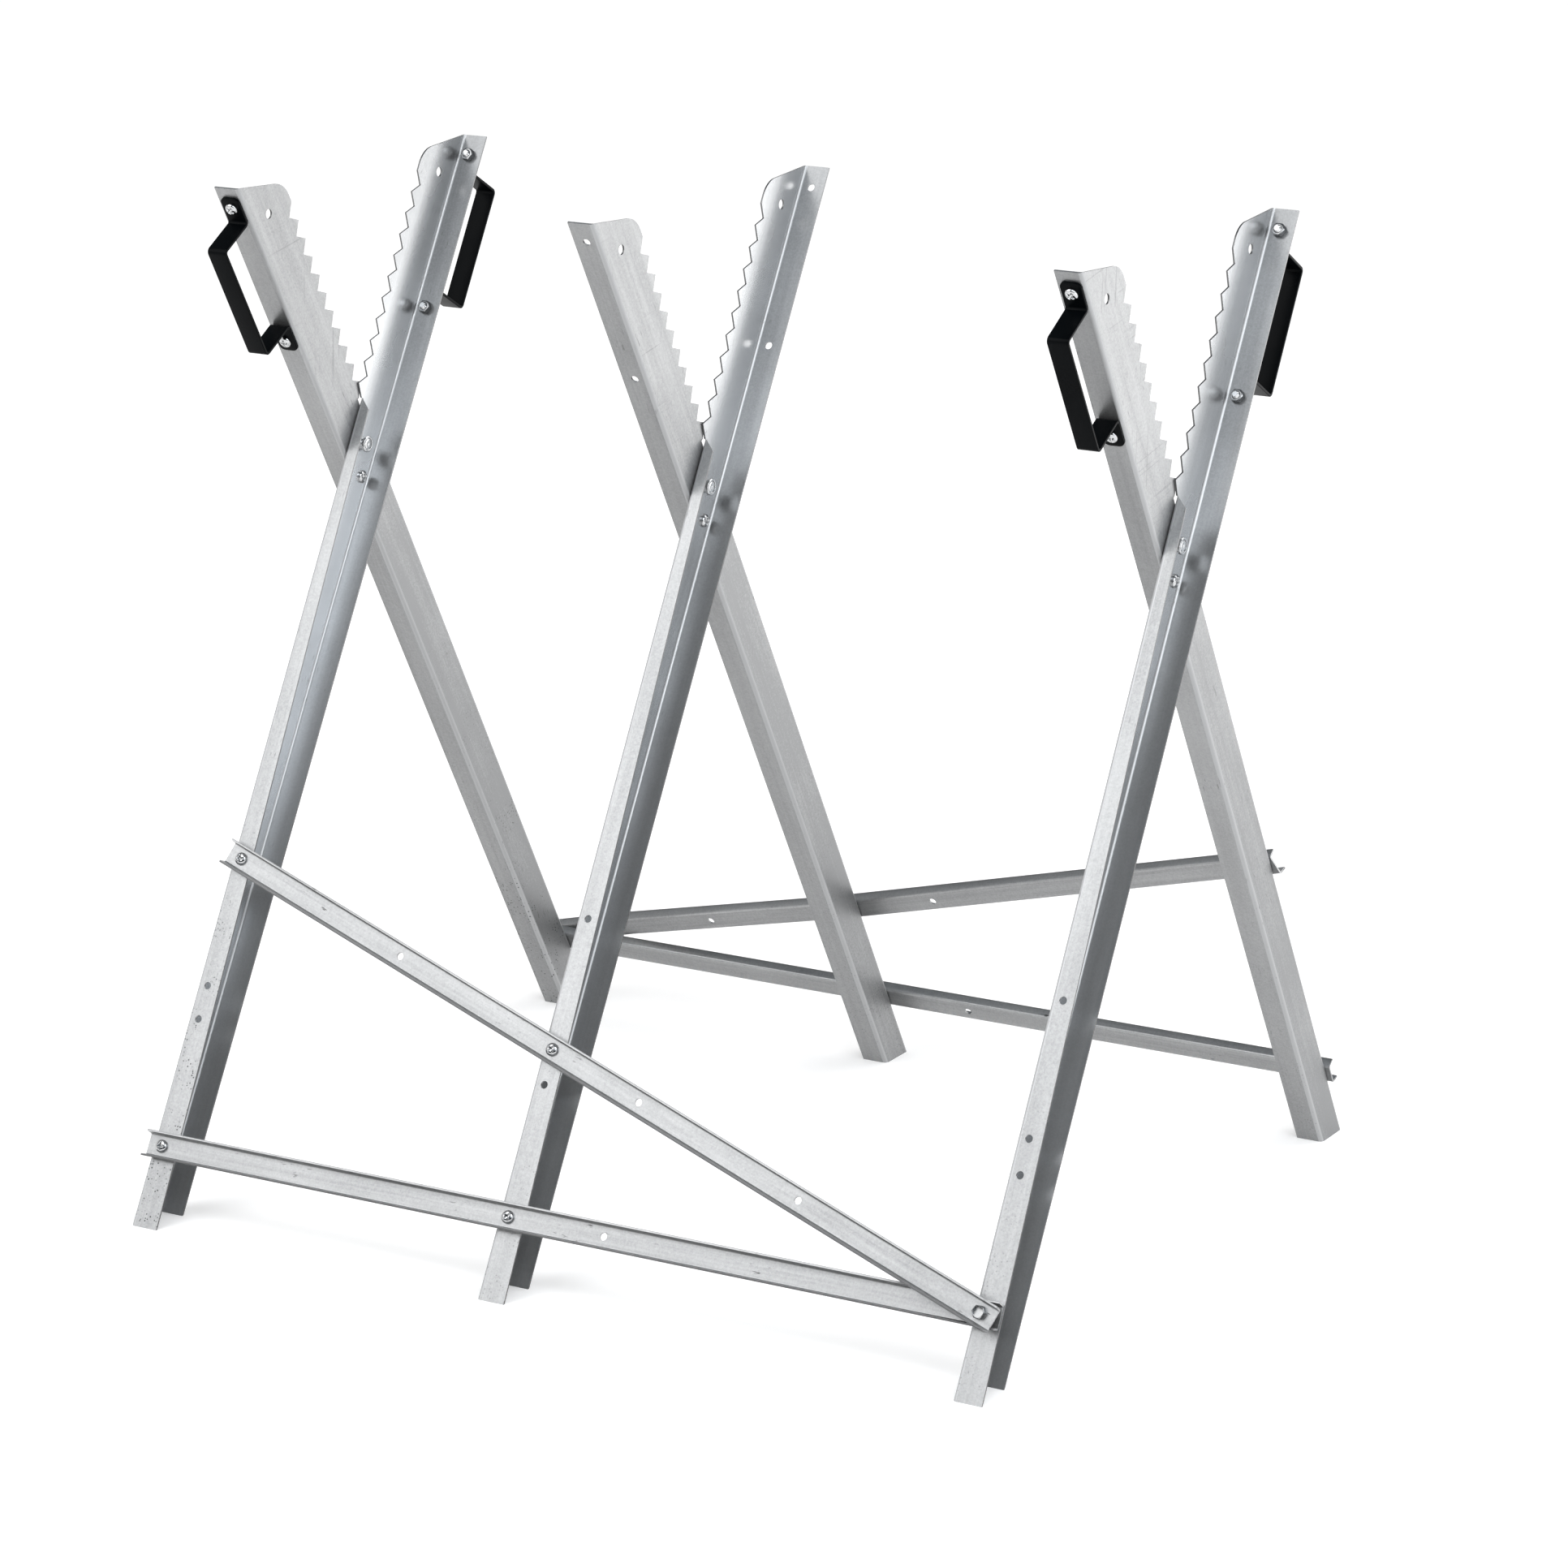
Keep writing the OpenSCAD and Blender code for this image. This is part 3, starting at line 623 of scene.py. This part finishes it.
for end, way in ENDS.items():
    low_screw, *_, top_screw = sorted(middles(f"brace_screws_{end}"), key=lambda middle: middle[2])
    run = middles(f"stack_bolt_{end}")[0] - top_screw
    slope = math.atan2(np.linalg.norm(run[1:]), abs(run[0]))
    dress(f"brace_{end}_lower", brace_zinc(end, "lower", -QUARTER_TURN, low_screw))
    dress(f"brace_{end}_diagonal", brace_zinc(end, "diagonal", -QUARTER_TURN + way * slope, top_screw))
print("diagonal braces slope by", round(math.degrees(slope), 1), "degrees")

# %% [markdown]
# ## Bright zinc and black coat
# Plated fasteners are smoother and brighter than sheet, so they mirror the room in small sharp shapes. The
# handles have a baked coat: nearly black, with a fine orange-peel skin that spreads each highlight. One even
# polish could do for both, but fine clouds in it break up the highlights as wear does.

# %% Make the finishes of the fasteners and the handles
MOST_CLOUDS = (0.3, 0.7)
COAT_DARK, COAT_PALE = grey(0.0008, 0.3), grey(0.0022, 0.3)
COAT_ROUGH = (0.26, 0.36)


def plated_zinc(name, dark, pale, smooth, dull):
    """Plated steel: a nearly even metal, dark to pale, whose polish varies in fine clouds."""
    material, tree, shader = new_material(name)
    fine = noise(tree, add(tree, "TexCoord").outputs["Object"], per_metre=700.0)
    tree.links.new(mix(tree, fine, grey(dark, 0.01), grey(pale, 0.005)), shader.inputs["Base Color"])
    shader.inputs["Metallic"].default_value = 1.0
    tree.links.new(span(tree, fine, *MOST_CLOUDS, smooth, dull), shader.inputs["Roughness"])
    bump = add(tree, "Bump", {"Strength": 0.15, "Distance": 0.05 * MM, "Height": fine})
    tree.links.new(bump.outputs[0], shader.inputs["Normal"])
    return material


def black_coat():
    """Baked black coat: soft clouds of sheen and an orange-peel skin."""
    material, tree, shader = new_material("black_coat")
    place = add(tree, "TexCoord").outputs["Object"]
    clouds = noise(tree, place, per_metre=30.0)
    peel = noise(tree, place, per_metre=950.0, detail=2.0)
    tree.links.new(mix(tree, clouds, COAT_DARK, COAT_PALE), shader.inputs["Base Color"])
    tree.links.new(span(tree, clouds, *MOST_CLOUDS, *COAT_ROUGH), shader.inputs["Roughness"])
    shader.inputs["Specular IOR Level"].default_value = 0.045
    bump = add(tree, "Bump", {"Strength": 0.2, "Distance": 0.08 * MM, "Height": peel})
    tree.links.new(bump.outputs[0], shader.inputs["Normal"])
    return material


bright = plated_zinc("bright_zinc", dark=0.44, pale=0.62, smooth=0.07, dull=0.15)
dull = plated_zinc("dull_zinc", dark=0.26, pale=0.38, smooth=0.16, dull=0.28)
coated = black_coat()
print("finishes:", bright.name, dull.name, coated.name)

# %% [markdown]
# ## Surfaces from grids of points
# A turned or swept piece is a grid: its columns go once round and its rows go from one end to the other.
# If the first and the last row shrink to a point, or the last row repeats the first, the surface is closed.
# Welding the equal points then leaves a clean skin, and sharp edges are marked by their angle.

# %% Helpers for pieces made of grids
ROUND = np.radians(np.arange(0.0, 360.0, 5.0))
WELD = 0.002 * MM
SHARP = math.radians(32)


def rings(*values):
    """One row for each value, the same at every angle."""
    return np.array(values, dtype=float)[:, None] + 0 * ROUND


def turned(radius, height):
    """A surface turned about Z, from the radius and the height of each row at each angle."""
    return np.stack([radius * np.cos(ROUND), radius * np.sin(ROUND), height], axis=-1)


def grid_faces(skin, start):
    """Each point with its neighbour round, the next row's neighbour and the next row's point: one face."""
    index = start + np.arange(skin[..., 0].size).reshape(skin.shape[:2])
    beside = np.roll(index, -1, axis=1)
    return np.stack([index[:-1], beside[:-1], beside[1:], index[1:]], axis=-1).reshape(-1, 4)


def make_piece(node, skins, material):
    """One piece from grids of points in the stand's frame. It stands for a node and rides with it."""
    starts = np.cumsum([0] + [skin[..., 0].size for skin in skins])
    faces = np.concatenate([grid_faces(skin, start) for skin, start in zip(skins, starts)])
    points = np.concatenate([skin.reshape(-1, 3) for skin in skins])
    mesh = bpy.data.meshes.new(node + "_detail")
    mesh.from_pydata(points.tolist(), [], faces.tolist())
    weld = bmesh.new()
    weld.from_mesh(mesh)
    bmesh.ops.remove_doubles(weld, verts=weld.verts, dist=WELD)
    bmesh.ops.recalc_face_normals(weld, faces=weld.faces)
    weld.to_mesh(mesh)
    weld.free()
    mesh.polygons.foreach_set("use_smooth", np.ones(len(mesh.polygons), dtype=bool))
    mesh.set_sharp_from_angle(angle=SHARP)
    mesh.materials.append(material)
    piece = bpy.data.objects.new(node + "_detail", mesh)
    scene.collection.objects.link(piece)
    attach(piece, frame["nodes"][node]["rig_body"])
    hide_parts(node)
    return piece


def soften(corners, radius, steps=8):
    """A line of corners with each inner corner rounded. Gives the points and the heading at each point."""
    corners = np.asarray(corners, dtype=float)
    way = np.diff(corners, axis=0)
    heading = np.arctan2(way[:, 1], way[:, 0])
    bend = (np.diff(heading) + np.pi) % (2 * np.pi) - np.pi
    hand = np.sign(bend)[:, None]
    ahead = way / np.linalg.norm(way, axis=1)[:, None]
    left = ahead @ np.array([[0.0, 1.0], [-1.0, 0.0]])
    start = corners[1:-1] - ahead[:-1] * radius * np.tan(np.abs(bend) / 2)[:, None]
    hub = start + left[:-1] * radius * hand
    turn = heading[:-1, None] + bend[:, None] * np.linspace(0, 1, steps + 1)
    arcs = hub[:, None] - np.stack([-np.sin(turn), np.cos(turn)], axis=-1) * radius * hand[:, None]
    points = np.concatenate([corners[:1], arcs.reshape(-1, 2), corners[-1:]])
    return points, np.concatenate([heading[:1], turn.reshape(-1), heading[-1:]])


print("angles round a turned piece:", len(ROUND))

# %% [markdown]
# ## Handles
# Each handle is a strap bent to a hat and coated, so its edges are soft. It could be a box with bevels, but
# a small rounded section carried along the bent line gives the bends and the edges in one go. The section
# narrows over the last few millimetres, which rounds the corners of the tabs.

# %% Make the handles
STRAP = {"thick": 2.5 * MM, "bend": 3.25 * MM, "grip": 112 * MM, "corner": 5 * MM, "edge": 0.6 * MM}
SECTION_ANGLES = np.radians(np.arange(4.5, 360.0, 9.0))
CORNER_ANGLES = np.linspace(0, np.pi / 2, 9)


def strap_skin(width, length, base, top):
    """A rounded rectangle carried along the hat line: out by its normal, and across by its width."""
    half, low, high = length / 2, base + STRAP["thick"] / 2, top - STRAP["thick"] / 2
    grip = (STRAP["grip"] - STRAP["thick"]) / 2
    hat = [(-half, low), (-grip, low), (-grip, high), (grip, high), (grip, low), (half, low)]
    line, heading = soften(hat, STRAP["bend"])
    inset = STRAP["corner"] * (1 - np.cos(CORNER_ANGLES))
    tab = np.stack([-half + inset, np.full(len(inset), low)], axis=-1)
    line = np.concatenate([tab, line[1:-1], tab[::-1] * [-1, 1]])
    heading = np.concatenate([np.zeros(len(tab)), heading[1:-1], np.zeros(len(tab))])
    narrow = STRAP["corner"] * (1 - np.sin(CORNER_ANGLES))
    across = np.full(len(line), width / 2)
    across[: len(tab)] -= narrow
    across[-len(tab):] -= narrow[::-1]
    edge, cos, sin = STRAP["edge"], np.cos(SECTION_ANGLES), np.sin(SECTION_ANGLES)
    x = np.sign(cos) * (across[:, None] - edge) + edge * cos
    out = np.sign(sin) * (STRAP["thick"] / 2 - edge) + edge * sin
    along = line[:, :1] - np.sin(heading)[:, None] * out
    away = line[:, 1:] + np.cos(heading)[:, None] * out
    skin = np.stack([x, along, away], axis=-1)
    ends = [np.repeat(row.mean(axis=0)[None, None], len(row), axis=1) for row in (skin[0], skin[-1])]
    return np.concatenate([ends[0], skin, ends[1]])


for end in ENDS:
    own = np.stack([ALONG_ROW, facing(end, math.pi / 2 - LEAN), handle_out[end]])
    for side in ("left", "right"):
        node = f"handle_{end}_{side}"
        local = np.concatenate(solids(node, reach=1.0)) @ own.T
        low, high = local.min(axis=0), local.max(axis=0)
        skin = strap_skin(high[0] - low[0], high[1] - low[1], low[2], high[2])
        skin[..., :2] += (low + high)[:2] / 2
        make_piece(node, [skin @ own], coated)
print("handle rises above its flange by", round((high[2] - low[2]) / MM, 1), "mm")

# %% [markdown]
# ## Screws
# The pan heads are domes with a cross recess. Cutting the recess with a solid would leave long thin faces,
# so the dome is a height worked out at each radius and angle, less the depth of the recess there. The
# thread's end is turned with a radius that follows a ridge round and down.

# %% Shapes of the screws
SCREW = {"radius": 3 * MM, "pitch": 1 * MM, "thread": 0.5 * MM, "shown": 4.5 * MM, "tip": 0.8 * MM}
ROWS_TO_A_PITCH = 8
PAN_HEIGHT = 3.6 * MM
PAN_SIDE_SHARE = 0.25
DOME_ROWS, DOME_FULLNESS = 44, 2.6
CROSS = {"reach": 3.5 * MM, "width": 1.7 * MM, "wall": 0.4 * MM, "depth": 2.3 * MM}


def cross_depth(radius):
    """Depth of the recess: full inside the arms, falling over a thin wall, and shallower further out."""
    x, y = np.abs(radius * np.cos(ROUND)), np.abs(radius * np.sin(ROUND))
    along, across = np.maximum(x, y), np.minimum(x, y)
    inside = np.clip((CROSS["width"] / 2 - across) / CROSS["wall"] + 0.5, 0, 1)
    return CROSS["depth"] * inside * np.sqrt(np.clip(1 - along / CROSS["reach"], 0, 1))


def thread_rows(length):
    """A plain shank, then a ridge that goes round and down, then a chamfered tip that closes."""
    plain = length - SCREW["shown"]
    down = np.arange(plain, length - SCREW["tip"], SCREW["pitch"] / ROWS_TO_A_PITCH)[:, None] + 0 * ROUND
    valley = np.abs(2 * ((ROUND / (2 * np.pi) - down / SCREW["pitch"]) % 1) - 1)
    grown = np.clip((down - plain) / SCREW["pitch"], 0, 1)
    ridge = SCREW["radius"] - SCREW["thread"] * valley * grown
    radius = np.concatenate([rings(SCREW["radius"]), ridge, rings(SCREW["radius"] - SCREW["tip"], 0)])
    return radius, np.concatenate([rings(0), -down, rings(-length, -length)])


def pan_screw(head_radius, length):
    """A dome less its cross recess, a short straight side, a flat seat, and the thread."""
    side = PAN_HEIGHT * PAN_SIDE_SHARE
    radius = head_radius * np.sin(np.linspace(0, np.pi / 2, DOME_ROWS))[:, None] + 0 * ROUND
    dome = side + (PAN_HEIGHT - side) * np.sqrt(1 - (radius / head_radius) ** DOME_FULLNESS)
    dome = dome - cross_depth(radius)
    shank_radius, shank_height = thread_rows(length)
    radius = np.concatenate([radius, rings(head_radius), shank_radius])
    return turned(radius, np.concatenate([dome, rings(0), shank_height]))


print("rows in a screw of 12 mm:", len(pan_screw(5.5 * MM, 12 * MM)))

# %% [markdown]
# ## Bolts and nuts
# A hexagon is a turned piece too: its radius follows the flats, and its chamfer is where a cone cuts them.
# That gives the curved edges between face and flats that a plain six-sided solid lacks.

# %% Shapes of the bolts and nuts
HEX = {"height": 4 * MM, "flats": 10 * MM, "face": 4.75 * MM, "dish": 0.2 * MM, "hole": 3.1 * MM}
DISH_SHARE = 0.9
CHAMFER_SLOPE = math.tan(math.radians(28))


def hexagon():
    """The radius of a hexagon at each angle, and how far its chamfer drops there."""
    radius = HEX["flats"] / 2 / np.cos((ROUND % (np.pi / 3)) - np.pi / 6)
    return radius[None], (radius[None] - HEX["face"]) * CHAMFER_SLOPE


def hex_bolt(length):
    """A slightly dished face, a chamfer, six flats, a seat, and the thread."""
    flats, drop = hexagon()
    shank_radius, shank_height = thread_rows(length)
    face = rings(0, DISH_SHARE * HEX["face"], HEX["face"])
    radius = np.concatenate([face, flats, flats, shank_radius])
    dish = HEX["height"] - HEX["dish"]
    top = rings(dish, dish, HEX["height"])
    return turned(radius, np.concatenate([top, HEX["height"] - drop, 0 * flats, shank_height]))


def nut(height):
    """Six flats with both ends chamfered, and a bore whose mouths are chamfered too."""
    flats, drop = hexagon()
    mouth = SCREW["thread"]
    inner = rings(HEX["hole"], HEX["hole"] + mouth, HEX["face"])
    low = rings(mouth, 0, 0)
    radius = np.concatenate([inner, flats, flats, inner[::-1], inner[:1]])
    return turned(radius, np.concatenate([low, drop, height - drop, height - low[::-1], low[:1]]))


print("corner of a hexagon:", round(hexagon()[0].max() / MM, 2), "mm")

# %% [markdown]
# ## Fasteners in their places
# Each fastener takes the axis and the ends of the solid that it stands for. The cross recesses are turned
# by one more step from screw to screw, because no one drives all screws to the same angle.

# %% Seat the screws, bolts and nuts
DRIVEN_STEP = math.radians(137.5)


def spun(skin, angle):
    """The same surface turned about Z."""
    cos, sin = math.cos(angle), math.sin(angle)
    return skin @ np.array([[cos, sin, 0], [-sin, cos, 0], [0, 0, 1]])


def seat_all(node, axis, shape, finish):
    """A detailed copy for each solid of a node, laid along the same axis between the same two ends."""
    skins = []
    for number, points in enumerate(solids(node)):
        own, middle, low, high = lie(points, axis)
        skin, seat = shape(np.ptp(points @ own[0]) / 2, low, high, number)
        skins.append((skin + [*middle, seat]) @ own)
    make_piece(node, skins, finish)


def as_pan(wide, low, high, number):
    """A pan screw whose head has this half width, and the height of its seat."""
    return spun(pan_screw(wide, high - low - PAN_HEIGHT), number * DRIVEN_STEP), high - PAN_HEIGHT


def as_bolt(wide, low, high, number):
    """A hexagon bolt between these ends, and the height of its seat."""
    return hex_bolt(high - low - HEX["height"]), high - HEX["height"]


def as_nut(wide, low, high, number):
    """A nut between these ends, and the height of its foot."""
    return nut(high - low), low


for end in ENDS:
    seat_all(f"brace_screws_{end}", brace_out[end], as_pan, bright)
    seat_all(f"handle_screws_{end}", handle_out[end], as_pan, bright)
    seat_all(f"stack_bolt_{end}", brace_out[end], as_bolt, dull)
    seat_all(f"brace_nuts_{end}", -brace_out[end], as_nut, dull)
    seat_all(f"handle_nuts_{end}", -handle_out[end], as_nut, dull)
for side in SIDES:
    seat_all(f"stop_screw_{side}", ALONG_ROW, as_pan, bright)

# %% [markdown]
# ## Rivets
# The pivots are rivets with a collar and a ringed, dimpled head. They could be stacked from discs, but one
# outline from the middle of one head to the middle of the other turns into a single closed skin. Its corners
# are rounded first, as a press leaves them.

# %% Make the rivets
RIVET = {"head": 7 * MM, "collar": 5.5 * MM, "shank": 4 * MM}
RIVET_SHARES = {"dimple": 0.16, "mouth": 0.24, "disc": 0.62, "ring_in": 0.76, "ring_out": 0.93, "plain": 0.8}
RIVET_HEIGHT = {"head": 2.5 * MM, "collar": 4 * MM, "ring": 0.3 * MM, "groove": 0.9 * MM}
PRESSED_EDGE = 0.12 * MM


def rivet(low, high):
    """A turned outline from the middle of the ringed head to the middle of the plain one."""
    head, under = RIVET["head"], high - RIVET_HEIGHT["head"]
    seat, back = under - RIVET_HEIGHT["collar"], low + RIVET_HEIGHT["head"]
    dimple, mouth, disc, ring_in, ring_out, plain = [head * share for share in RIVET_SHARES.values()]
    shallow, deep = high - RIVET_HEIGHT["ring"], high - RIVET_HEIGHT["groove"]
    outline = [
        (0, deep), (dimple, deep), (mouth, shallow), (disc, shallow), (disc, deep), (ring_in, deep),
        (ring_in, high), (ring_out, high), (head, shallow), (head, under), (RIVET["collar"], under),
        (RIVET["collar"], seat), (RIVET["shank"], seat), (RIVET["shank"], back), (head, back),
        (head, (back + low) / 2), (plain, low), (0, low),
    ]
    line, _ = soften(outline, PRESSED_EDGE, 3)
    return turned(rings(*line[:, 0]), rings(*line[:, 1]))


for side in SIDES:
    node = f"pivot_rivet_{side}"
    own, middle, low, high = lie(solids(node)[0], ALONG_ROW)
    make_piece(node, [(rivet(low, high) + [*middle, 0.0]) @ own], bright)
